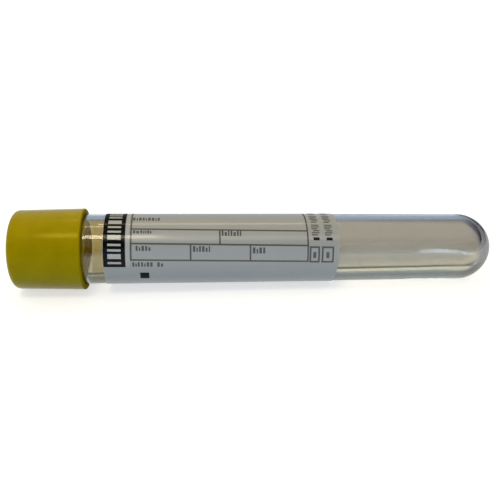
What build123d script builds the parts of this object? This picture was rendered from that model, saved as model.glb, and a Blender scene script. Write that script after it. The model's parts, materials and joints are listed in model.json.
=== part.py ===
from build123d import *
import os
from math import asin, atan2, cos, degrees, hypot, radians, sin

# An evacuated blood collection tube, lying on a table as it comes to rest: a glass tube
# with a round bottom, a one-piece rubber stopper in its mouth, a paper label round it and
# a little liquid additive inside. Millimetres, +Z up. The tube runs along X with its
# stopper towards -X, and the origin is on the table, under the middle of the tube.

# glass tube
tube_length = 100.0
tube_diameter = 16.0
glass_wall = 1.3
bottom_wall = 1.7  # glass at the middle of the round bottom
lip_round = 0.5

# stopper
head_height = 12.0  # from the glass's lip to the flat top
skirt_depth = 3.6  # how far the skirt reaches down over the glass
skirt_wall = 1.25  # rubber outside the glass, at the skirt's edge
side_draft = 0.4  # how much smaller the top's radius is than the skirt's
top_edge_round = 1.3
skirt_edge_round = 0.3
skirt_clearance = 0.05  # radial, skirt to glass
plug_clearance = 0.03  # radial, plug to bore
plug_depth = 4.5
plug_wall = 1.5  # rubber round the open hollow in the plug's end
plug_edge_round = 0.5
hollow_depth = 6.0
hollow_taper = 10.0  # degrees
needle_well_diameter = 7.0
needle_well_depth = 2.2

# label
label_from_skirt = 4.7
label_length = 52.5
label_thickness = 0.1
label_wrap = 300.0  # degrees of the tube that the label covers
label_gap_turn = 245.0  # degrees from the tube's top, by the front, to the gap's middle

# additive
liquid_below_axis = 2.6  # from the tube's axis, at its round bottom, down to the liquid

# The tube rests on the skirt's edge and on the start of its round bottom, so its axis
# slopes gently down from the stopper.
tube_radius = tube_diameter / 2
bore_radius = tube_radius - glass_wall
skirt_bore_radius = tube_radius + skirt_clearance
skirt_radius = skirt_bore_radius + skirt_wall
top_radius = skirt_radius - side_draft
total_length = head_height + tube_length
skirt_station = head_height + skirt_depth
bottom_station = total_length - tube_radius  # middle of the round bottom
bore_end = total_length - bottom_wall
rest_span = bottom_station - skirt_station + skirt_edge_round
edge_ring = skirt_radius - skirt_edge_round
axis_slope = atan2(edge_ring, rest_span) - asin(
    (tube_radius - skirt_edge_round) / hypot(rest_span, edge_ring)
)

# Stations run along the axis from the stopper's flat top, station 0.
top_ring = top_radius - top_edge_round
reach_left = (bottom_station - top_edge_round) * cos(axis_slope) + top_ring * sin(axis_slope)
reach_left += top_edge_round
bottom_x = (reach_left - tube_radius) / 2
axis_direction = Vector(cos(axis_slope), 0, -sin(axis_slope))
bottom_centre = Vector(bottom_x, 0, tube_radius)
top_centre = bottom_centre - axis_direction * bottom_station

tube_axis = Axis(top_centre, axis_direction)


def section_plane(turn):
    """Plane through the axis: local x is the station, local y the radius.

    The radius points away from the axis at this turn, in degrees from the tube's top
    towards its front at -Y.
    """
    front = Vector(0, -1, 0)
    upwards = front.cross(axis_direction)
    across = front * cos(radians(turn)) - upwards * sin(radians(turn))
    return Plane(origin=top_centre, x_dir=axis_direction, z_dir=across)


half_section = section_plane(0)


def corner(section, station, radius):
    """The corner of a section that lies at this station and radius."""
    return section.vertices().sort_by_distance((station, radius))[0]


def round_ended_outline(radius, first_station, last_station):
    """Half section of a rod on the axis, flat at first_station and round at last_station."""
    round_station = last_station - radius
    Line((first_station, 0), (first_station, radius))
    Line((first_station, radius), (round_station, radius))
    RadiusArc((round_station, radius), (last_station, 0), radius)
    Line((last_station, 0), (first_station, 0))


with BuildPart() as glass_tube:
    with BuildSketch(half_section) as wall_section:
        with BuildLine():
            round_ended_outline(tube_radius, head_height, total_length)
        make_face()
        with BuildLine():
            round_ended_outline(bore_radius, head_height, bore_end)
        make_face(mode=Mode.SUBTRACT)
        fillet(corner(wall_section, head_height, tube_radius), lip_round)
        fillet(corner(wall_section, head_height, bore_radius), lip_round)
    revolve(axis=tube_axis)
glass_tube.part.label = "glass_tube"


plug_radius = bore_radius - plug_clearance
plug_station = head_height + plug_depth
hollow_radius = plug_radius - plug_wall
hollow_end_radius = hollow_radius - hollow_depth * sin(radians(hollow_taper))
well_radius = needle_well_diameter / 2

with BuildPart() as stopper:
    with BuildSketch(half_section) as stopper_section:
        with BuildLine():
            Polyline(
                (needle_well_depth, 0),
                (needle_well_depth, well_radius),
                (0, well_radius),
                (0, top_radius),
                (skirt_station, skirt_radius),
                (skirt_station, skirt_bore_radius),
                (head_height, skirt_bore_radius),
                (head_height, plug_radius),
                (plug_station, plug_radius),
                (plug_station, hollow_radius),
                (plug_station - hollow_depth, hollow_end_radius),
                (plug_station - hollow_depth, 0),
                close=True,
            )
        make_face()
        fillet(corner(stopper_section, 0, top_radius), top_edge_round)
        fillet(corner(stopper_section, skirt_station, skirt_radius), skirt_edge_round)
        fillet(corner(stopper_section, plug_station, plug_radius), plug_edge_round)
        fillet(corner(stopper_section, plug_station, hollow_radius), plug_edge_round)
    revolve(axis=tube_axis)
stopper.part.label = "stopper"


label_station = skirt_station + label_from_skirt
label_start_turn = label_gap_turn + (360 - label_wrap) / 2

with BuildPart() as label:
    with BuildSketch(section_plane(label_start_turn)):
        with BuildLine():
            Polyline(
                (label_station, tube_radius),
                (label_station + label_length, tube_radius),
                (label_station + label_length, tube_radius + label_thickness),
                (label_station, tube_radius + label_thickness),
                close=True,
            )
        make_face()
    revolve(axis=tube_axis, revolution_arc=label_wrap)
label.part.label = "label"


# The liquid lies level in the bore, from the plug to the round bottom.
liquid_level = tube_radius - liquid_below_axis

with BuildPart() as additive_solution:
    with BuildSketch(half_section):
        with BuildLine():
            round_ended_outline(bore_radius, plug_station, bore_end)
        make_face()
    revolve(axis=tube_axis)
    split(bisect_by=Plane.XY.offset(liquid_level), keep=Keep.BOTTOM)
additive_solution.part.label = "additive_solution"


os.makedirs("parts", exist_ok=True)
export_step(glass_tube.part, "parts/glass_tube.step")
export_step(stopper.part, "parts/stopper.step")
export_step(label.part, "parts/label.step")
export_step(additive_solution.part, "parts/additive_solution.step")

print(f"axis slope {degrees(axis_slope):.2f} degrees, liquid level {liquid_level:.2f} mm")
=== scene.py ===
import json
import math
import bmesh
import bpy
from mathutils import Matrix, Vector


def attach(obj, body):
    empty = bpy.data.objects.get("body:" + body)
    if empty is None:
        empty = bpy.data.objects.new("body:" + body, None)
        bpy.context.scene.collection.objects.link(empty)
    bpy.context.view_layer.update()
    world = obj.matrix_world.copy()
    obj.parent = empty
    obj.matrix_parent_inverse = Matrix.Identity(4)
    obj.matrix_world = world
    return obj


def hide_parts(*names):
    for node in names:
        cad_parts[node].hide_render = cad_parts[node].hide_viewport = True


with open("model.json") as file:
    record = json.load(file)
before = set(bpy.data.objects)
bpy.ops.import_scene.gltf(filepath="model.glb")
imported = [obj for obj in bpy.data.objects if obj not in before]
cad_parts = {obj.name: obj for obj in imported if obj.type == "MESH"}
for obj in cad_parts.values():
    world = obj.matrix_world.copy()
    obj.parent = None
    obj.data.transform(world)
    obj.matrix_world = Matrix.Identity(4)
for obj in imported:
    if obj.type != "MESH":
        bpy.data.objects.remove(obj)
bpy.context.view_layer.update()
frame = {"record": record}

# The tube lies along X with its stopper to the left. Stations run along its axis in
# millimetres, from 0 at the stopper's flat top. Turns run round the axis in degrees,
# from 0 at the top, over 90 at the front, to 180 underneath.
mm = 0.001
mounts = {mount["name"]: mount for mount in frame["record"]["mounts"]}
onAxis = Vector(mounts["needle_well"]["pos_m"])
along = -Vector(mounts["needle_well"]["axis"]).normalized()
flatTop = Vector(mounts["stopper_top"]["pos_m"])
topCentre = onAxis + along * (flatTop - onAxis).dot(along)
front = Vector((0, -1, 0))
upwards = front.cross(along)
labelRadius = 8.1  # outside of the label
bottomStation = 104.0  # middle of the round bottom


def outwards(turn):
    return upwards * math.cos(math.radians(turn)) + front * math.sin(math.radians(turn))


def tubePoint(station, radius, turn):
    return topCentre + (along * station + outwards(turn) * radius) * mm


def roundedOutline(corners, steps=8):
    # corners are (station, radius, rounding); every rounding becomes an arc
    points = []
    for i, (station, radius, rounding) in enumerate(corners):
        here = Vector((station, radius))
        if rounding == 0:
            points.append(here)
            continue
        back = (Vector(corners[i - 1][:2]) - here).normalized()
        ahead = (Vector(corners[i + 1][:2]) - here).normalized()
        halfTurn = back.angle(ahead) / 2
        middle = here + (back + ahead).normalized() * rounding / math.sin(halfTurn)
        first = here + back * rounding / math.tan(halfTurn) - middle
        last = here + ahead * rounding / math.tan(halfTurn) - middle
        points += [middle + first.slerp(last, k / steps) * rounding for k in range(steps + 1)]
    return points


def quarterArc(centreStation, radius, fromAngle, toAngle, steps):
    angles = [math.radians(fromAngle + (toAngle - fromAngle) * k / steps) for k in range(steps + 1)]
    return [Vector((centreStation + radius * math.cos(a), radius * math.sin(a))) for a in angles]


def finishMesh(name, bm, material, body, sharpAngle=35):
    bmesh.ops.recalc_face_normals(bm, faces=bm.faces)
    if bm.calc_volume(signed=True) < 0:
        bmesh.ops.reverse_faces(bm, faces=bm.faces)
    mesh = bpy.data.meshes.new(name)
    bm.to_mesh(mesh)
    bm.free()
    mesh.shade_smooth()
    mesh.set_sharp_from_angle(angle=math.radians(sharpAngle))
    mesh.materials.append(material)
    piece = bpy.data.objects.new(name, mesh)
    bpy.context.scene.collection.objects.link(piece)
    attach(piece, body)
    return piece


def spunMesh(outline, around):
    # turns an outline that starts and ends on the axis into a closed skin
    bm = bmesh.new()
    rings = []
    for station, radius in outline:
        if radius < 1e-6:
            rings.append([bm.verts.new(tubePoint(station, 0, 0))])
        else:
            rings.append([bm.verts.new(tubePoint(station, radius, 360 * k / around))
                          for k in range(around)])
    for ringA, ringB in zip(rings, rings[1:]):
        for k in range(around):
            nextK = (k + 1) % around
            corners = [ringA[k % len(ringA)], ringA[nextK % len(ringA)],
                       ringB[nextK % len(ringB)], ringB[k % len(ringB)]]
            bm.faces.new(list(dict.fromkeys(corners)))
    return bm


def addWrap(bm, stations, turns, radii, lean=0.0):
    # a thin curved slab between two stations, two turns and two radii, closed all round;
    # lean is the turn that it gains for each millimetre of station
    stepLength, stepTurn = 4, 2  # longest face, in millimetres along and degrees round
    alongSteps = max(1, math.ceil(abs(stations[1] - stations[0]) / stepLength) if lean else 1)
    aroundSteps = max(1, math.ceil(abs(turns[1] - turns[0]) / stepTurn))
    middle = (stations[0] + stations[1]) / 2
    skins = []
    for radius in radii:
        rows = []
        for i in range(alongSteps + 1):
            station = stations[0] + (stations[1] - stations[0]) * i / alongSteps
            shift = lean * (station - middle)
            rows.append([bm.verts.new(tubePoint(
                station, radius, turns[0] + (turns[1] - turns[0]) * j / aroundSteps + shift))
                for j in range(aroundSteps + 1)])
        skins.append(rows)
    low, high = skins
    for i in range(alongSteps):
        for j in range(aroundSteps):
            bm.faces.new([high[i][j], high[i + 1][j], high[i + 1][j + 1], high[i][j + 1]])
            bm.faces.new([low[i][j], low[i][j + 1], low[i + 1][j + 1], low[i + 1][j]])
    edge = [(i, 0) for i in range(alongSteps)]
    edge += [(alongSteps, j) for j in range(aroundSteps)]
    edge += [(i, aroundSteps) for i in range(alongSteps, 0, -1)]
    edge += [(0, j) for j in range(aroundSteps, 0, -1)]
    for (i, j), (nextI, nextJ) in zip(edge, edge[1:] + edge[:1]):
        bm.faces.new([low[i][j], low[nextI][nextJ], high[nextI][nextJ], high[i][j]])


def addNode(tree, kind, inputs=None, **settings):
    node = tree.nodes.new(kind)
    for key, value in settings.items():
        setattr(node, key, value)
    for key, value in (inputs or {}).items():
        if isinstance(value, bpy.types.NodeSocket):
            tree.links.new(value, node.inputs[key])
        else:
            node.inputs[key].default_value = value
    return node


def newGroup(name, inputs, outputs):
    group = bpy.data.node_groups.new(name, "ShaderNodeTree")
    for title, kind, value in inputs:
        socket = group.interface.new_socket(name=title, in_out="INPUT", socket_type=kind)
        if value is not None:
            socket.default_value = value
    for title, kind in outputs:
        group.interface.new_socket(name=title, in_out="OUTPUT", socket_type=kind)
    return group, group.nodes.new("NodeGroupInput"), group.nodes.new("NodeGroupOutput")


def placeGroup(tree, group, inputs=None):
    return addNode(tree, "ShaderNodeGroup", inputs, node_tree=group)


def newMaterial(name):
    material = bpy.data.materials.new(name)
    material.use_nodes = True
    tree = material.node_tree
    tree.nodes.clear()
    return material, tree, tree.nodes.new("ShaderNodeOutputMaterial")


def makeTubeCoordinates():
    # a point as millimetres along the axis, round it, and out from it; Reach is its distance
    # from the axis or, in the round bottom, from the middle of that
    group, _, result = newGroup("tubeCoordinates", [], [
        ("Vector", "NodeSocketVector"), ("Reach", "NodeSocketFloat")])
    place = addNode(group, "ShaderNodeTexCoord").outputs["Object"]
    offset = addNode(group, "ShaderNodeVectorMath", {0: place, 1: topCentre}, operation="SUBTRACT")
    parts = []
    for direction in (along, front, upwards):
        parts.append(addNode(group, "ShaderNodeVectorMath",
                             {0: offset.outputs["Vector"], 1: direction / mm},
                             operation="DOT_PRODUCT").outputs["Value"])
    turn = addNode(group, "ShaderNodeMath", {0: parts[1], 1: parts[2]}, operation="ARCTAN2")
    flat = addNode(group, "ShaderNodeCombineXYZ", {"X": parts[1], "Y": parts[2]})
    radius = addNode(group, "ShaderNodeVectorMath", {0: flat.outputs["Vector"]}, operation="LENGTH")
    arc = addNode(group, "ShaderNodeMath", {0: turn.outputs[0], 1: radius.outputs["Value"]},
                  operation="MULTIPLY")
    joined = addNode(group, "ShaderNodeCombineXYZ", {
        "X": parts[0], "Y": arc.outputs[0], "Z": radius.outputs["Value"]})
    group.links.new(joined.outputs["Vector"], result.inputs["Vector"])
    past = addNode(group, "ShaderNodeMath", {0: parts[0], 1: bottomStation}, operation="SUBTRACT")
    past = addNode(group, "ShaderNodeMath", {0: past.outputs[0], 1: 0.0}, operation="MAXIMUM")
    away = addNode(group, "ShaderNodeCombineXYZ", {
        "X": past.outputs[0], "Y": parts[1], "Z": parts[2]})
    reach = addNode(group, "ShaderNodeVectorMath", {0: away.outputs["Vector"]}, operation="LENGTH")
    group.links.new(reach.outputs["Value"], result.inputs["Reach"])
    return group


def makeGrain():
    # noise with its own stretch along and round the tube, in repeats a millimetre
    group, given, result = newGroup(
        "grain",
        [("Vector", "NodeSocketVector", None), ("Along", "NodeSocketFloat", 1.0),
         ("Around", "NodeSocketFloat", 1.0), ("Detail", "NodeSocketFloat", 3.0)],
        [("Value", "NodeSocketFloat")])
    stretch = addNode(group, "ShaderNodeCombineXYZ", {
        "X": given.outputs["Along"], "Y": given.outputs["Around"], "Z": given.outputs["Around"]})
    scaled = addNode(group, "ShaderNodeVectorMath", {
        0: given.outputs["Vector"], 1: stretch.outputs["Vector"]}, operation="MULTIPLY")
    noise = addNode(group, "ShaderNodeTexNoise", {
        "Vector": scaled.outputs["Vector"], "Scale": 1.0, "Detail": given.outputs["Detail"],
        "Roughness": 0.55})
    group.links.new(noise.outputs["Fac"], result.inputs["Value"])
    return group


def makeSpecks():
    # a mask of scattered fine specks, 1 on a speck; Rarity is the share of cells left bare
    group, given, result = newGroup(
        "specks",
        [("Vector", "NodeSocketVector", None), ("Density", "NodeSocketFloat", 1.0),
         ("Size", "NodeSocketFloat", 0.08), ("Rarity", "NodeSocketFloat", 0.72)],
        [("Mask", "NodeSocketFloat")])
    cells = addNode(group, "ShaderNodeTexVoronoi", {
        "Vector": given.outputs["Vector"], "Scale": given.outputs["Density"]})
    mask = addNode(group, "ShaderNodeMapRange", {
        "Value": cells.outputs["Distance"], "From Min": given.outputs["Size"], "From Max": 0.0,
        "To Min": 0.0, "To Max": 1.0})
    keep = addNode(group, "ShaderNodeSeparateColor", {"Color": cells.outputs["Color"]})
    rare = addNode(group, "ShaderNodeMath", {
        0: keep.outputs["Red"], 1: given.outputs["Rarity"]}, operation="GREATER_THAN")
    both = addNode(group, "ShaderNodeMath", {0: mask.outputs["Result"], 1: rare.outputs[0]},
                   operation="MULTIPLY")
    group.links.new(both.outputs[0], result.inputs["Mask"])
    return group


tubeCoordinates = makeTubeCoordinates()
grain = makeGrain()
specks = makeSpecks()


def blendColour(tree, share, colourA, colourB):
    # colourA where the share is 0, colourB where it is 1; either may be another node's output
    node = addNode(tree, "ShaderNodeMix", data_type="RGBA")
    tree.links.new(share, node.inputs["Factor"])
    for socket, colour in ((node.inputs[6], colourA), (node.inputs[7], colourB)):
        if isinstance(colour, bpy.types.NodeSocket):
            tree.links.new(colour, socket)
        else:
            socket.default_value = (*colour, 1)
    return node.outputs[2]


def multiply(tree, valueA, valueB):
    return addNode(tree, "ShaderNodeMath", {0: valueA, 1: valueB}, operation="MULTIPLY").outputs[0]


def spread(tree, value, low, high, fromLow=0.3, fromHigh=0.7):
    # goes from low to high as the value goes from fromLow to fromHigh, and stops there
    return addNode(tree, "ShaderNodeMapRange", {
        "Value": value, "From Min": fromLow, "From Max": fromHigh,
        "To Min": low, "To Max": high}).outputs["Result"]


def mixShaders(tree, share, shaderA, shaderB):
    mix = tree.nodes.new("ShaderNodeMixShader")
    tree.links.new(share, mix.inputs[0])
    tree.links.new(shaderA, mix.inputs[1])
    tree.links.new(shaderB, mix.inputs[2])
    return mix.outputs["Shader"]


def letLampsThrough(tree, output, shader, tint):
    # rays from lamps pass straight through clear material, so what lies behind it is lit
    path = addNode(tree, "ShaderNodeLightPath")
    passing = addNode(tree, "ShaderNodeBsdfTransparent", {"Color": (*tint, 1)})
    mixed = mixShaders(tree, path.outputs["Is Shadow Ray"], shader.outputs["BSDF"],
                       passing.outputs["BSDF"])
    tree.links.new(mixed, output.inputs["Surface"])


tubeSizes = {
    "lipStation": 12.0, "endStation": 112.0, "radius": 8.0, "wall": 1.3, "bottomWall": 1.7,
    "lipRound": 0.5, "around": 192, "arcSteps": 30,
}

# wallReach is how far the liquid reaches into the glass, so that no air lies between them;
# rise is how far the meniscus climbs the wall where the surface is widest, and capillary is
# how quickly it levels off
liquidSizes = {
    "start": 16.55, "wallReach": 0.05, "contactDepth": 1.75, "rise": 0.8, "capillary": 2.7,
    "widestHalf": 6.4, "alongSteps": 60, "roundSteps": 40, "wallSteps": 48, "surfaceSteps": 40,
}


def liquidRestHeight(sizes):
    # height above the table of the line where the liquid meets the glass
    bottomCentre = tubePoint(tubeSizes["endStation"] - tubeSizes["radius"], 0, 0) / mm
    return bottomCentre.z - sizes["contactDepth"]


# Pairs are where a tint starts and where it is full: stations, distances from the axis,
# depths behind it or, for edgeFacing, how far the wall turns away from the eye.
glassLook = {
    "outside": (0.93, 0.935, 0.93),
    # edge tints: painted shade where the wall is seen edge on, darkest at the round bottom
    "edge": (0.22, 0.24, 0.275), "edgeFacing": (0.32, 0.46),
    "roundEdgePaintedShade": (0.05, 0.053, 0.062), "roundEdgePaintedShadeStations": (102, 107),
    "roundPaintedShadeGain": 0.14, "roundPaintedShadeGainStations": (104, 108),
    # painted shade: the bore's tint stands in for darker surroundings seen through the tube
    "inside": (0.285, 0.264, 0.232), "insideReach": (7.6, 7.2),
    # painted reflection: the plug's yellow cast on the glass beside it
    "paintedPlugCast": (0.28, 0.21, 0.065), "paintedPlugCastStations": (19, 28),
    # painted light and shade seen through the pool: lighter in front, darker behind, and the plug's
    # painted yellow cast where wet
    "wetFrontPainted": (0.70, 0.65, 0.42), "wetBackPaintedShade": (0.34, 0.35, 0.33), "wetBackDepth": (-2.0, 2.0),
    "wetPaintedPlugCast": (0.34, 0.29, 0.13), "wetBlend": 0.1,
    # at the mouth the painted tint is lighter, so the plug shows through
    "mouth": (0.52, 0.47, 0.36), "mouthBlend": 0.6, "mouthEndFront": 17.6, "mouthEndBack": 16.3,
    "ior": 1.5, "shadow": (0.90, 0.89, 0.87), "drawLines": 0.015, "drawDepth": 0.00002,
}


def glassMaterial():
    material, tree, output = newMaterial("clearGlass")
    coordinates = placeGroup(tree, tubeCoordinates).outputs
    lines = placeGroup(tree, grain, {
        "Vector": coordinates["Vector"], "Along": 0.01, "Around": 0.5}).outputs["Value"]
    bump = addNode(tree, "ShaderNodeBump", {
        "Strength": glassLook["drawLines"], "Distance": glassLook["drawDepth"], "Height": lines})
    station = addNode(tree, "ShaderNodeSeparateXYZ", {"Vector": coordinates["Vector"]}).outputs["X"]
    # seen edge on, the wall is painted darker, most of all in the round bottom: partly the thick
    # wall holding back light, partly painted shade standing in for the dark surroundings mirrored
    # at the edges
    facing = addNode(tree, "ShaderNodeLayerWeight", {"Blend": 0.5}).outputs["Facing"]
    edge = blendColour(tree, spread(tree, station, 0, 1, *glassLook["roundEdgePaintedShadeStations"]),
                       glassLook["edge"], glassLook["roundEdgePaintedShade"])
    roundShadeGain = spread(tree, station, 0, glassLook["roundPaintedShadeGain"],
                     *glassLook["roundPaintedShadeGainStations"])
    facing = addNode(tree, "ShaderNodeMath", {0: facing, 1: roundShadeGain}).outputs[0]
    outside = blendColour(tree, spread(tree, facing, 0, 1, *glassLook["edgeFacing"]),
                          glassLook["outside"], edge)
    # the bore carries painted shade, a tint standing in for darker surroundings seen through the
    # tube, and beside the plug a painted yellow cast, standing in for the plug's light on the glass
    further = spread(tree, station, 0, 1, *glassLook["paintedPlugCastStations"])
    inside = blendColour(tree, further, glassLook["paintedPlugCast"], glassLook["inside"])
    # where the liquid wets it, the bore carries painted tints for the light and shade seen through
    # the pool, lighter at the front and darker at the back, and a painted yellow cast beside the
    # plug
    place = addNode(tree, "ShaderNodeTexCoord").outputs["Object"]
    height = addNode(tree, "ShaderNodeSeparateXYZ", {"Vector": place}).outputs["Z"]
    depth = addNode(tree, "ShaderNodeSeparateXYZ", {"Vector": place}).outputs["Y"]
    wetFrom, wetTo = glassLook["wetBackDepth"]
    paintedWetTint = blendColour(tree, spread(tree, depth, 0, 1, wetFrom * mm, wetTo * mm),
                      glassLook["wetFrontPainted"], glassLook["wetBackPaintedShade"])
    paintedWetTint = blendColour(tree, further, glassLook["wetPaintedPlugCast"], paintedWetTint)
    level, blend = liquidRestHeight(liquidSizes) * mm, glassLook["wetBlend"] * mm
    inside = blendColour(tree, spread(tree, height, 1, 0, level - blend, level + blend),
                         inside, paintedWetTint)
    # at the mouth the painted tint is lighter, and it ends past the plug's end, which shows through
    # the front
    bore = (tubeSizes["radius"] - tubeSizes["wall"]) * mm
    mouthEnd = spread(tree, depth, glassLook["mouthEndFront"], glassLook["mouthEndBack"], -bore, 0)
    beyond = addNode(tree, "ShaderNodeMath", {0: station, 1: mouthEnd}, operation="SUBTRACT")
    bored = blendColour(tree, spread(tree, beyond.outputs[0], 0, 1, 0, glassLook["mouthBlend"]),
                        glassLook["mouth"], inside)
    reachOut, reachIn = glassLook["insideReach"]
    colour = blendColour(tree, spread(tree, coordinates["Reach"], 1, 0, reachIn, reachOut),
                         outside, bored)
    shader = addNode(tree, "ShaderNodeBsdfPrincipled", {
        "Base Color": colour, "Roughness": 0.0, "IOR": glassLook["ior"],
        "Transmission Weight": 1.0, "Normal": bump.outputs["Normal"]})
    letLampsThrough(tree, output, shader, glassLook["shadow"])
    return material


liquidLook = {
    "colour": (1.0, 1.0, 0.96), "shadow": (0.95, 0.95, 0.93), "ior": 1.34, "rough": 0.0,
    "ripple": 0.02, "rippleDepth": 0.0001,
}


def liquidMaterial():
    material, tree, output = newMaterial("clearLiquid")
    place = placeGroup(tree, tubeCoordinates).outputs["Vector"]
    ripple = placeGroup(tree, grain, {
        "Vector": place, "Along": 0.05, "Around": 0.1}).outputs["Value"]
    bump = addNode(tree, "ShaderNodeBump", {
        "Strength": liquidLook["ripple"], "Distance": liquidLook["rippleDepth"], "Height": ripple})
    shader = addNode(tree, "ShaderNodeBsdfPrincipled", {
        "Base Color": (*liquidLook["colour"], 1), "Roughness": liquidLook["rough"],
        "IOR": liquidLook["ior"], "Transmission Weight": 1.0, "Normal": bump.outputs["Normal"]})
    letLampsThrough(tree, output, shader, liquidLook["shadow"])
    return material


# Pairs are the stations and radii between which one finish changes to the next.
rubberLook = {
    "colour": (0.412, 0.314, 0.0012), "deep": (0.358, 0.274, 0.001),
    "dust": (0.38, 0.33, 0.07), "dustDensity": 1.1, "dustSize": 0.07,
    "plug": (0.38, 0.29, 0.001), "plugRadii": (7.0, 7.5),
    "hollow": (0.95, 0.74, 0.002), "hollowStations": (9.0, 10.0), "hollowRadii": (5.4, 5.9),
    "tint": (1.0, 0.80, 0.10, 1), "gloss": 0.17, "rough": 0.13, "unevenRough": 0.12,
    "dull": 0.85, "dullStations": (15.2, 15.4), "grainBump": 0.25, "grainDepth": 0.00003,
}


def rubberMaterial():
    material, tree, output = newMaterial("yellowRubber")
    place = placeGroup(tree, tubeCoordinates).outputs["Vector"]
    cloud = placeGroup(tree, grain, {
        "Vector": place, "Along": 0.25, "Around": 0.2}).outputs["Value"]
    fine = placeGroup(tree, grain, {
        "Vector": place, "Along": 4.0, "Around": 4.0}).outputs["Value"]
    dust = placeGroup(tree, specks, {
        "Vector": place, "Density": rubberLook["dustDensity"],
        "Size": rubberLook["dustSize"]}).outputs["Mask"]
    body = blendColour(tree, spread(tree, cloud, 0, 1), rubberLook["deep"], rubberLook["colour"])
    dusty = blendColour(tree, dust, body, rubberLook["dust"])
    # the plug is clean, and its hollow is brighter, to make up for the light it doesn't get
    parts = addNode(tree, "ShaderNodeSeparateXYZ", {"Vector": place}).outputs
    station, radius = parts["X"], parts["Z"]
    belowHead = spread(tree, station, 0, 1, *rubberLook["hollowStations"])
    hollow = multiply(tree, belowHead, spread(tree, radius, 1, 0, *rubberLook["hollowRadii"]))
    plug = blendColour(tree, hollow, rubberLook["plug"], rubberLook["hollow"])
    inner = multiply(tree, belowHead, spread(tree, radius, 1, 0, *rubberLook["plugRadii"]))
    colour = blendColour(tree, inner, dusty, plug)
    # only the head is smooth, and its skirt's edge isn't
    smooth = multiply(tree, spread(tree, radius, 0, 1, *rubberLook["plugRadii"]),
                      spread(tree, station, 1, 0, *rubberLook["dullStations"]))
    rough = spread(tree, smooth, rubberLook["dull"], rubberLook["rough"], 0, 1)
    uneven = addNode(tree, "ShaderNodeMath", {
        0: cloud, 1: rubberLook["unevenRough"], 2: rough}, operation="MULTIPLY_ADD").outputs[0]
    bump = addNode(tree, "ShaderNodeBump", {
        "Strength": rubberLook["grainBump"], "Distance": rubberLook["grainDepth"], "Height": fine})
    shader = addNode(tree, "ShaderNodeBsdfPrincipled", {
        "Base Color": colour, "Specular IOR Level": rubberLook["gloss"],
        "Specular Tint": rubberLook["tint"], "Normal": bump.outputs["Normal"],
        "Roughness": uneven})
    tree.links.new(shader.outputs["BSDF"], output.inputs["Surface"])
    return material


paperLook = {
    "colour": (0.400, 0.400, 0.392), "shade": (0.376, 0.378, 0.375), "gloss": 0.35,
    "rough": 0.33, "unevenRough": 0.1, "coat": 0.5, "coatRough": 0.10,
    "fibreBump": 0.12, "inkBump": 0.1, "fibreDepth": 0.00002,
}


def paperMaterial():
    material, tree, output = newMaterial("coatedPaper")
    place = placeGroup(tree, tubeCoordinates).outputs["Vector"]
    fibre = placeGroup(tree, grain, {
        "Vector": place, "Along": 3.0, "Around": 7.0, "Detail": 5.0}).outputs["Value"]
    cloud = placeGroup(tree, grain, {
        "Vector": place, "Along": 0.12, "Around": 0.2}).outputs["Value"]
    colour = blendColour(tree, spread(tree, cloud, 0, 1), paperLook["shade"], paperLook["colour"])
    bump = addNode(tree, "ShaderNodeBump", {
        "Strength": paperLook["fibreBump"], "Distance": paperLook["fibreDepth"], "Height": fibre})
    rough = paperLook["rough"]
    shader = addNode(tree, "ShaderNodeBsdfPrincipled", {
        "Base Color": colour, "Normal": bump.outputs["Normal"],
        "Specular IOR Level": paperLook["gloss"], "Coat Weight": paperLook["coat"],
        "Coat Roughness": paperLook["coatRough"],
        "Roughness": spread(tree, fibre, rough, rough + paperLook["unevenRough"])})
    tree.links.new(shader.outputs["BSDF"], output.inputs["Surface"])
    return material


# thin is the ink's colour where it lies thin over the paper's fibres
inkLooks = {
    "blackInk": {"colour": (0.003, 0.003, 0.0032), "thin": (0.007, 0.007, 0.0075),
                 "rough": 0.20, "coat": 0.22},
    "greyInk": {"colour": (0.105, 0.105, 0.100), "thin": (0.150, 0.150, 0.140),
                "rough": 0.24, "coat": 0.5},
    "whiteInk": {"colour": (0.50, 0.50, 0.475), "thin": (0.43, 0.43, 0.41),
                 "rough": 0.22, "coat": 0.5},
}


def inkMaterial(name, look):
    material, tree, output = newMaterial(name)
    place = placeGroup(tree, tubeCoordinates).outputs["Vector"]
    fibre = placeGroup(tree, grain, {
        "Vector": place, "Along": 5.0, "Around": 6.0, "Detail": 4.0}).outputs["Value"]
    thinness = spread(tree, fibre, 0, 1, 0.45, 0.75)
    bump = addNode(tree, "ShaderNodeBump", {
        "Strength": paperLook["inkBump"], "Distance": paperLook["fibreDepth"], "Height": fibre})
    rough = look["rough"]
    shader = addNode(tree, "ShaderNodeBsdfPrincipled", {
        "Base Color": blendColour(tree, thinness, look["colour"], look["thin"]),
        "Roughness": spread(tree, fibre, rough, rough + paperLook["unevenRough"]),
        "Normal": bump.outputs["Normal"], "Specular IOR Level": 0.0,
        "Coat Weight": look["coat"], "Coat Roughness": paperLook["coatRough"]})
    tree.links.new(shader.outputs["BSDF"], output.inputs["Surface"])
    return material


clearGlass = glassMaterial()
clearLiquid = liquidMaterial()
yellowRubber = rubberMaterial()
coatedPaper = paperMaterial()
blackInk, greyInk, whiteInk = (inkMaterial(name, look) for name, look in inkLooks.items())
print("materials made")


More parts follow.
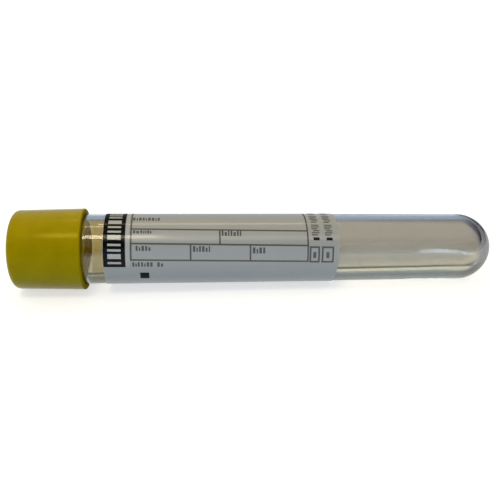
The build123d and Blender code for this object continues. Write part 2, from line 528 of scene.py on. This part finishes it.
def makeTube(sizes):
    outer, bore = sizes["radius"], sizes["radius"] - sizes["wall"]
    lip, lipRound = sizes["lipStation"], sizes["lipRound"]
    outerRound = sizes["endStation"] - outer
    boreRound = sizes["endStation"] - sizes["bottomWall"] - bore
    outline = quarterArc(outerRound, outer, 0, 90, sizes["arcSteps"])
    outline += roundedOutline([
        (outerRound, outer, 0), (lip, outer, lipRound), (lip, bore, lipRound),
        (boreRound, bore, 0)])[1:-1]
    outline += quarterArc(boreRound, bore, 90, 0, sizes["arcSteps"])
    piece = finishMesh("glassTube", spunMesh(outline, sizes["around"]), clearGlass, "tube")
    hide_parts("glass_tube")
    return piece


glassTube = makeTube(tubeSizes)
print("glass tube made")


stopperSizes = {
    "topRadius": 8.9, "skirtRadius": 9.3, "skirtStation": 15.6, "skirtBore": 8.05,
    "plugRadius": 6.74, "plugStation": 16.5, "hollowRadius": 5.17, "hollowDepth": 6.0,
    "hollowEnd": 4.13, "hollowRound": 0.6, "wellRadius": 3.5, "wellDepth": 2.2, "wellRound": 0.35,
    "wellEdgeRound": 0.3, "topRound": 1.3, "edgeRound": 0.3, "skirtBoreRound": 0.15,
    "plugRound": 0.5, "around": 192, "arcSteps": 10,
}


def makeStopper(sizes):
    lip, skirt, plug = tubeSizes["lipStation"], sizes["skirtStation"], sizes["plugStation"]
    hollowEnd = plug - sizes["hollowDepth"]
    outline = roundedOutline([
        (sizes["wellDepth"], 0, 0),
        (sizes["wellDepth"], sizes["wellRadius"], sizes["wellRound"]),
        (0, sizes["wellRadius"], sizes["wellEdgeRound"]),
        (0, sizes["topRadius"], sizes["topRound"]),
        (skirt, sizes["skirtRadius"], sizes["edgeRound"]),
        (skirt, sizes["skirtBore"], sizes["skirtBoreRound"]),
        (lip, sizes["skirtBore"], 0), (lip, sizes["plugRadius"], 0),
        (plug, sizes["plugRadius"], sizes["plugRound"]),
        (plug, sizes["hollowRadius"], sizes["plugRound"]),
        (hollowEnd, sizes["hollowEnd"], sizes["hollowRound"]), (hollowEnd, 0, 0)],
        steps=sizes["arcSteps"])
    piece = finishMesh("rubberStopper", spunMesh(outline, sizes["around"]), yellowRubber, "stopper")
    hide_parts("stopper")
    return piece


makeStopper(stopperSizes)
print("stopper made")


labelSizes = {
    "start": 20.3, "length": 52.5, "gapTurn": 245.0, "wrap": 300.0, "thickness": 0.1,
}


def makeLabel(sizes):
    bm = bmesh.new()
    firstTurn = sizes["gapTurn"] + (360 - sizes["wrap"]) / 2
    addWrap(bm, (sizes["start"], sizes["start"] + sizes["length"]),
            (firstTurn, firstTurn + sizes["wrap"]),
            (labelRadius - sizes["thickness"], labelRadius))
    piece = finishMesh("paperLabel", bm, coatedPaper, "tube")
    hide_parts("label")
    return piece


# Places on the print are millimetres from the label's left edge, and millimetres round
# the tube, upwards from the line at faceTurn. Patches are (start, end, low, high), and a
# line of small print has the widths of its strokes too.
printSizes = {
    "faceTurn": 65.0, "lean": 0.1245, "inkHeight": 0.008, "whiteHeight": 0.014, "sunk": 0.03,
    "band": (0.05, 4.8, -4.65, 14.0), "stripe": (5.0, 5.7, -4.65, 14.0),
    "barStart": 1.0, "barEnd": 3.9, "barInset": 0.75,
    # each bar's width and the gap after it
    "bars": ((0.5, 0.7), (1.1, 0.55), (0.5, 0.7), (0.5, 0.9), (1.1, 0.55), (0.5, 0.7),
             (0.5, 0.7), (1.1, 0.9), (0.5, 0.55), (0.5, 0.7), (1.1, 0.7)),
    "formStart": 5.85, "formEnd": 45.6, "lineWidth": 0.38,
    "rowLines": (15.3, 4.2, 0.75, -2.9),
    # each divider's place, and the row that it divides, counted from the top
    "dividers": ((25.35, 1), (18.85, 2), (32.15, 2)),
    "strokeGap": 0.22,
    "words": (
        (6.3, 12.2, 6.8, 8.0, (0.5, 0.3, 0.5, 0.4, 0.3, 0.5, 0.5, 0.3, 0.4)),
        (6.5, 7.8, 3.1, 3.9, (0.4, 0.5)),
        (8.1, 10.5, 3.1, 3.9, (0.5, 0.4, 0.3, 0.5, 0.4)),
        (25.95, 30.35, 2.75, 4.0, (0.4, 0.5, 0.3, 0.4, 0.5, 0.4, 0.3)),
        (7.1, 10.3, -0.85, 0.25, (0.4, 0.3, 0.5, 0.4, 0.4)),
        (19.55, 23.35, -0.9, 0.35, (0.5, 0.3, 0.4, 0.5, 0.4, 0.3)),
        (32.85, 35.65, -1.15, 0.2, (0.5, 0.3, 0.5, 0.4)),
        (6.3, 7.9, -4.5, -3.4, (0.5, 0.4, 0.5)),
        (8.2, 10.7, -4.5, -3.4, (0.4, 0.3, 0.5, 0.5)),
        (11.7, 13.0, -4.5, -3.4, (0.5, 0.4)),
    ),
    "square": (7.85, 9.85, -8.15, -6.15),
    "columns": (46.4, 49.4), "columnMark": (0.3, 1.7, 1.95, 2.65), "columnLow": 3.1,
    "columnStrokes": 18, "strokeHeight": 0.3, "strokeStep": 0.52, "wordStep": 0.9,
    "boxes": ((45.75, 48.15), (48.55, 51.4)), "boxLow": -3.2, "boxHigh": 0.6, "boxLine": 0.42,
    "boxMark": (-0.35, 0.35, -2.1, -0.7),
}


class PrintSheet:
    # collects flat patches of one ink and makes them into one piece
    def __init__(self, name, material, height):
        self.name, self.material, self.height = name, material, height
        self.bm = bmesh.new()

    def patch(self, startAlong, endAlong, low, high):
        middle = labelSizes["start"] + labelSizes["length"] / 2
        stations = (labelSizes["start"] + startAlong, labelSizes["start"] + endAlong)
        lean = printSizes["lean"]
        drop = lean * (sum(stations) / 2 - middle)
        turns = [printSizes["faceTurn"] - math.degrees(a / labelRadius) + drop for a in (high, low)]
        addWrap(self.bm, stations, turns,
                (labelRadius - printSizes["sunk"] * mm, labelRadius + self.height), lean)

    def frameLines(self, startAlong, endAlong, low, high, width):
        self.patch(startAlong, endAlong, high - width, high)
        self.patch(startAlong, endAlong, low, low + width)
        self.patch(startAlong, startAlong + width, low + width, high - width)
        self.patch(endAlong - width, endAlong, low + width, high - width)

    def smallWords(self, startAlong, endAlong, low, high, widths):
        # a line of small print as short upright strokes, every third of them a quarter shorter
        gap = printSizes["strokeGap"]
        total = sum(widths) + gap * (len(widths) - 1)
        scale = (endAlong - startAlong) / total
        at = startAlong
        for k, width in enumerate(widths):
            inset = 0.25 * (high - low) if k % 3 == 1 else 0
            self.patch(at, at + width * scale, low, high - inset)
            at += (width + gap) * scale

    def turnedWords(self, startAlong, low, sizes):
        # a column of print that reads upwards, as strokes along the tube of a few lengths
        at = low
        for k in range(sizes["columnStrokes"]):
            start = startAlong + (0.35 if k % 5 == 2 else 0)
            end = startAlong + (1.8 if k % 3 else 1.4)
            self.patch(start, end, at, at + sizes["strokeHeight"])
            at += sizes["wordStep"] if k % 6 == 5 else sizes["strokeStep"]

    def finish(self):
        piece = finishMesh(self.name, self.bm, self.material, "tube")
        return piece


def makePrint(sizes):
    black = PrintSheet("blackPrint", blackInk, sizes["inkHeight"])
    grey = PrintSheet("greyPrint", greyInk, sizes["inkHeight"])
    white = PrintSheet("whitePrint", whiteInk, sizes["whiteHeight"])

    # dark band beside the stopper, with plain white bars
    black.patch(*sizes["band"])
    at = sizes["band"][2] + sizes["barInset"]
    for width, gap in sizes["bars"]:
        white.patch(sizes["barStart"], sizes["barEnd"], at, at + width)
        at += width + gap
    white.patch(*sizes["stripe"])

    # form of ruled rows
    start, end, width = sizes["formStart"], sizes["formEnd"], sizes["lineWidth"]
    rows = sizes["rowLines"]
    for row in rows:
        grey.patch(start, end, row - width / 2, row + width / 2)
    grey.patch(start, start + width, rows[-1], rows[0])
    grey.patch(end - width, end, rows[-1], rows[0])
    for divider, row in sizes["dividers"]:
        grey.patch(divider, divider + width, rows[row + 1], rows[row])

    # small print in the rows, and a black square under them
    for words in sizes["words"]:
        grey.smallWords(*words)
    black.patch(*sizes["square"])

    # two columns of turned print and two small boxes at the label's far end
    markStart, markEnd, markLow, markHigh = sizes["columnMark"]
    for column in sizes["columns"]:
        black.patch(column + markStart, column + markEnd, markLow, markHigh)
        grey.turnedWords(column, sizes["columnLow"], sizes)
    markStart, markEnd, markLow, markHigh = sizes["boxMark"]
    for start, end in sizes["boxes"]:
        grey.frameLines(start, end, sizes["boxLow"], sizes["boxHigh"], sizes["boxLine"])
        middle = (start + end) / 2
        grey.patch(middle + markStart, middle + markEnd, markLow, markHigh)

    return [sheet.finish() for sheet in (black, grey, white)]


printedLabel = [makeLabel(labelSizes)] + makePrint(printSizes)
print("label made")


def liquidRing(station, sizes):
    # the liquid's outline across the tube at one station, as world points in millimetres
    bore = tubeSizes["radius"] - tubeSizes["wall"]
    boreRound = tubeSizes["endStation"] - tubeSizes["bottomWall"] - bore
    reach = bore + sizes["wallReach"]
    past = max(0, station - boreRound)
    radius = math.sqrt(max(reach ** 2 - past ** 2, 0))
    axisPoint = tubePoint(station, 0, 0) / mm
    contactZ = liquidRestHeight(sizes)
    sink = (axisPoint.z - contactZ) / upwards.z
    if radius <= abs(sink):
        return None
    halfTurn = math.degrees(math.acos(sink / radius))
    points = []
    for k in range(sizes["wallSteps"] + 1):
        turn = 180 - halfTurn + 2 * halfTurn * k / sizes["wallSteps"]
        points.append(tubePoint(station, radius, turn) / mm)
    halfWidth = abs(points[0].y)
    # the meniscus, lower in the middle than at the glass, and the less so the narrower it is
    capillary = sizes["capillary"]
    narrowing = (math.tanh(halfWidth / (2 * capillary))
                 / math.tanh(sizes["widestHalf"] / (2 * capillary)))
    drop = sizes["rise"] * narrowing
    fromY, toY = points[-1].y, points[0].y
    for k in range(1, sizes["surfaceSteps"]):
        y = fromY + (toY - fromY) * (1 - math.cos(math.pi * k / sizes["surfaceSteps"])) / 2
        share = (math.cosh(y / capillary) - 1) / (math.cosh(halfWidth / capillary) - 1)
        points.append(Vector((points[0].x, y, contactZ - drop * (1 - share))))
    return points


def makeLiquid(sizes):
    bore = tubeSizes["radius"] - tubeSizes["wall"]
    boreRound = tubeSizes["endStation"] - tubeSizes["bottomWall"] - bore
    reach = math.sqrt((bore + sizes["wallReach"]) ** 2 - sizes["contactDepth"] ** 2)
    stations = [sizes["start"] + (boreRound - sizes["start"]) * k / sizes["alongSteps"]
                for k in range(sizes["alongSteps"] + 1)]
    endSteps = sizes["roundSteps"]
    stations += [boreRound + reach * math.sin(math.pi / 2 * k / endSteps)
                 for k in range(1, endSteps + 1)]
    bm = bmesh.new()
    rings = [liquidRing(station, sizes) for station in stations]
    rings = [[bm.verts.new(point * mm) for point in ring] for ring in rings if ring]
    for ringA, ringB in zip(rings, rings[1:]):
        for k in range(len(ringA)):
            nextK = (k + 1) % len(ringA)
            bm.faces.new([ringA[k], ringA[nextK], ringB[nextK], ringB[k]])
    for ring in (rings[0], rings[-1]):
        centre = bm.verts.new(sum((vert.co for vert in ring), Vector()) / len(ring))
        for k in range(len(ring)):
            bm.faces.new([ring[k], ring[(k + 1) % len(ring)], centre])
    piece = finishMesh("additiveLiquid", bm, clearLiquid, "tube", sharpAngle=50)
    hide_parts("additive_solution")
    return piece


liquid = makeLiquid(liquidSizes)
print("liquid made")


floorLook = {
    "halfSize": 6.0, "lighting": (0.60, 0.76, 1.0), "seen": (0.64, 0.665, 0.73), "lift": 0.64,
}


def plainDiffuse(tree, colour):
    return addNode(tree, "ShaderNodeBsdfDiffuse", {"Color": (*colour, 1)}).outputs["BSDF"]


def makeFloor(look):
    material, tree, output = newMaterial("paleFloor")
    # the floor looks white and keeps a soft shadow, and lights the tube less than it looks
    path = addNode(tree, "ShaderNodeLightPath").outputs
    seen = addNode(tree, "ShaderNodeMath", {
        0: path["Is Camera Ray"], 1: path["Is Glossy Ray"]}, operation="MAXIMUM").outputs[0]
    seen = addNode(tree, "ShaderNodeMath", {
        0: seen, 1: path["Is Transmission Ray"]}, operation="MAXIMUM").outputs[0]
    lift = addNode(tree, "ShaderNodeEmission", {
        "Color": (1, 1, 1, 1), "Strength": look["lift"]}).outputs["Emission"]
    bright = tree.nodes.new("ShaderNodeAddShader")
    tree.links.new(plainDiffuse(tree, look["seen"]), bright.inputs[0])
    tree.links.new(lift, bright.inputs[1])
    mixed = mixShaders(tree, seen, plainDiffuse(tree, look["lighting"]), bright.outputs["Shader"])
    tree.links.new(mixed, output.inputs["Surface"])
    bm = bmesh.new()
    size = look["halfSize"]
    bm.faces.new([bm.verts.new((x * size, y * size, 0))
                  for x, y in ((-1, -1), (1, -1), (1, 1), (-1, 1))])
    mesh = bpy.data.meshes.new("floor")
    bm.to_mesh(mesh)
    bm.free()
    mesh.materials.append(material)
    floor = bpy.data.objects.new("floor", mesh)
    bpy.context.scene.collection.objects.link(floor)


# Each patch of the sky is where all its ramps are 1. A ramp has its axis, its values
# before and after it, and where along the axis it starts and ends.
worldLook = {
    "low": (0.47, 0.58, 0.78), "high": (0.50, 0.46, 0.34), "lowToHigh": (-0.05, 0.75),
    "patches": (
        {"colour": (0.50, 0.62, 0.78),  # behind
         "ramps": (("Y", 0, 1, 0.50, 0.80), ("Z", 1, 0, 0.40, 0.62))},
        {"colour": (0.12, 0.125, 0.17),  # beyond the round bottom
         "ramps": (("X", 0, 1, 0.45, 0.75), ("Z", 1, 0, 0.55, 0.80))},
        {"colour": (0.07, 0.065, 0.05),  # in front
         "ramps": (("Y", 1, 0, -0.65, -0.35), ("Z", 1, 0, 0.72, 0.88), ("Z", 0, 1, 0.08, 0.22))},
    ),
}


def makeWorld(look):
    world = bpy.data.worlds.new("studio")
    bpy.context.scene.world = world
    world.use_nodes = True
    tree = world.node_tree
    tree.nodes.clear()
    output = tree.nodes.new("ShaderNodeOutputWorld")
    direction = addNode(tree, "ShaderNodeTexCoord").outputs["Generated"]
    axes = addNode(tree, "ShaderNodeSeparateXYZ", {"Vector": direction}).outputs
    tone = blendColour(tree, spread(tree, axes["Z"], 0, 1, *look["lowToHigh"]),
                       look["low"], look["high"])
    for patch in look["patches"]:
        share = None
        for axis, *ramp in patch["ramps"]:
            part = spread(tree, axes[axis], *ramp)
            share = multiply(tree, share, part) if share else part
        tone = blendColour(tree, share, tone, patch["colour"])
    glow = addNode(tree, "ShaderNodeBackground", {"Color": tone, "Strength": 1.0})
    tree.links.new(glow.outputs["Background"], output.inputs["Surface"])


def matrixFrom(xAxis, yAxis, zAxis, place):
    matrix = Matrix((xAxis, yAxis, zAxis)).transposed().to_4x4()
    matrix.translation = place
    return matrix


def linkLamp(lamp, pieces, state):
    # the lamp lights only these pieces, or with EXCLUDE all but these
    linked = bpy.data.collections.new(lamp.name + "Lights")
    for piece in pieces:
        linked.objects.link(piece)
    for item in linked.collection_objects:
        item.light_linking.link_state = state
    lamp.light_linking.receiver_collection = linked


def addSky(name, level, spreadAngle, colour, apart):
    # even soft light from above, on all but the pieces apart
    data = bpy.data.lights.new(name, "SUN")
    data.energy = level * math.pi
    data.angle = math.radians(spreadAngle)
    data.color = colour
    lamp = bpy.data.objects.new(name, data)
    bpy.context.scene.collection.objects.link(lamp)
    linkLamp(lamp, apart, "EXCLUDE")


def addLamp(name, station, turn, distance, sizeAlong, sizeAcross, level, colour, swing=0.0,
            only=()):
    # level is how bright a white card facing the lamp at the tube becomes; only names the
    # pieces that it lights, where it doesn't light them all. The lamp stands square to the
    # tube at its station and faces the tube's middle, or else it swings towards the round
    # end by an angle, in degrees, and faces its station.
    target = tubePoint(tubeSizes["endStation"] / 2 if swing == 0 else station, 0, 0)
    place = tubePoint(station, 0, 0) + (
        outwards(turn) * math.cos(math.radians(swing))
        + along * math.sin(math.radians(swing))) * distance
    data = bpy.data.lights.new(name, "AREA")
    data.shape = "RECTANGLE"
    data.size, data.size_y = sizeAlong, sizeAcross
    data.energy = level * math.pi ** 2 * (place - target).length ** 2
    data.color = colour
    lamp = bpy.data.objects.new(name, data)
    bpy.context.scene.collection.objects.link(lamp)
    backwards = (place - target).normalized()
    lengthways = (along - backwards * along.dot(backwards)).normalized()
    lamp.matrix_world = matrixFrom(lengthways, backwards.cross(lengthways), backwards, place)
    if only:
        linkLamp(lamp, only, "INCLUDE")
    return lamp


def showInsideOnly(lamp, surfaces):
    # the lamp shows only to rays that have passed this many surfaces, so that it mirrors in
    # what lies inside the tube and not in the wall
    lamp.data.use_nodes = True
    tree = lamp.data.node_tree
    tree.nodes.clear()
    crossings = addNode(tree, "ShaderNodeLightPath").outputs["Transmission Depth"]
    inside = addNode(tree, "ShaderNodeMath", {
        0: crossings, 1: surfaces - 0.5}, operation="GREATER_THAN")
    glow = addNode(tree, "ShaderNodeEmission", {"Strength": inside.outputs[0]})
    output = tree.nodes.new("ShaderNodeOutputLight")
    tree.links.new(glow.outputs["Emission"], output.inputs["Surface"])


cameraView = {
    "station": 39.0, "distance": 135.6, "elevation": 25.0, "swing": 6.05, "lens": 41.42,
    "pitch": 0.225, "roll": 0.40,
}


def turnPair(first, second, angle):
    # turns two directions that are square to each other about the third
    return (first * math.cos(angle) - second * math.sin(angle),
            second * math.cos(angle) + first * math.sin(angle))


def makeCamera(view):
    # the camera stands square to the tube at a station, and swings towards the round end
    turn = 90 - view["elevation"]
    towards = outwards(turn)
    swing, pitch, roll = (math.radians(view[key]) for key in ("swing", "pitch", "roll"))
    facing = along * math.sin(swing) - towards * math.cos(swing)
    right = along * math.cos(swing) + towards * math.sin(swing)
    up = right.cross(facing)
    facing, up = turnPair(facing, up, pitch)
    right, up = turnPair(right, up, roll)
    data = bpy.data.cameras.new("camera")
    data.lens = view["lens"]
    data.clip_start = 0.01
    camera = bpy.data.objects.new("camera", data)
    bpy.context.scene.collection.objects.link(camera)
    camera.matrix_world = matrixFrom(right, up, -facing,
                                     tubePoint(view["station"], view["distance"], turn))
    bpy.context.scene.camera = camera


makeFloor(floorLook)
makeWorld(worldLook)
addLamp("keyLamp", station=-52, turn=27, distance=0.42, sizeAlong=0.125, sizeAcross=0.085,
        level=0.215, colour=(1.0, 0.89, 0.62))
addLamp("backLamp", station=40, turn=-21, distance=0.60, sizeAlong=0.30, sizeAcross=0.065,
        level=0.085, colour=(1.0, 0.90, 0.62))
windowLamp = addLamp(
    "windowLamp", station=98, turn=-57, distance=0.55, sizeAlong=0.08, sizeAcross=0.055,
    level=0.42, colour=(0.50, 0.71, 1.0), swing=26.3, only=[glassTube, liquid])
showInsideOnly(windowLamp, surfaces=3)
addLamp("coolFill", station=45, turn=75, distance=0.60, sizeAlong=0.60, sizeAcross=0.26,
        level=0.16, colour=(0.38, 0.62, 1.0), only=printedLabel)
addSky("softSky", level=0.222, spreadAngle=120, colour=(1.0, 0.92, 0.74), apart=printedLabel)
addLamp("paperStrip", station=41, turn=33, distance=0.50, sizeAlong=0.70, sizeAcross=0.12,
        level=0.20, colour=(1.0, 0.93, 0.83), only=printedLabel)
makeCamera(cameraView)
bpy.context.scene.view_settings.view_transform = "Standard"
print("floor, light and camera set")
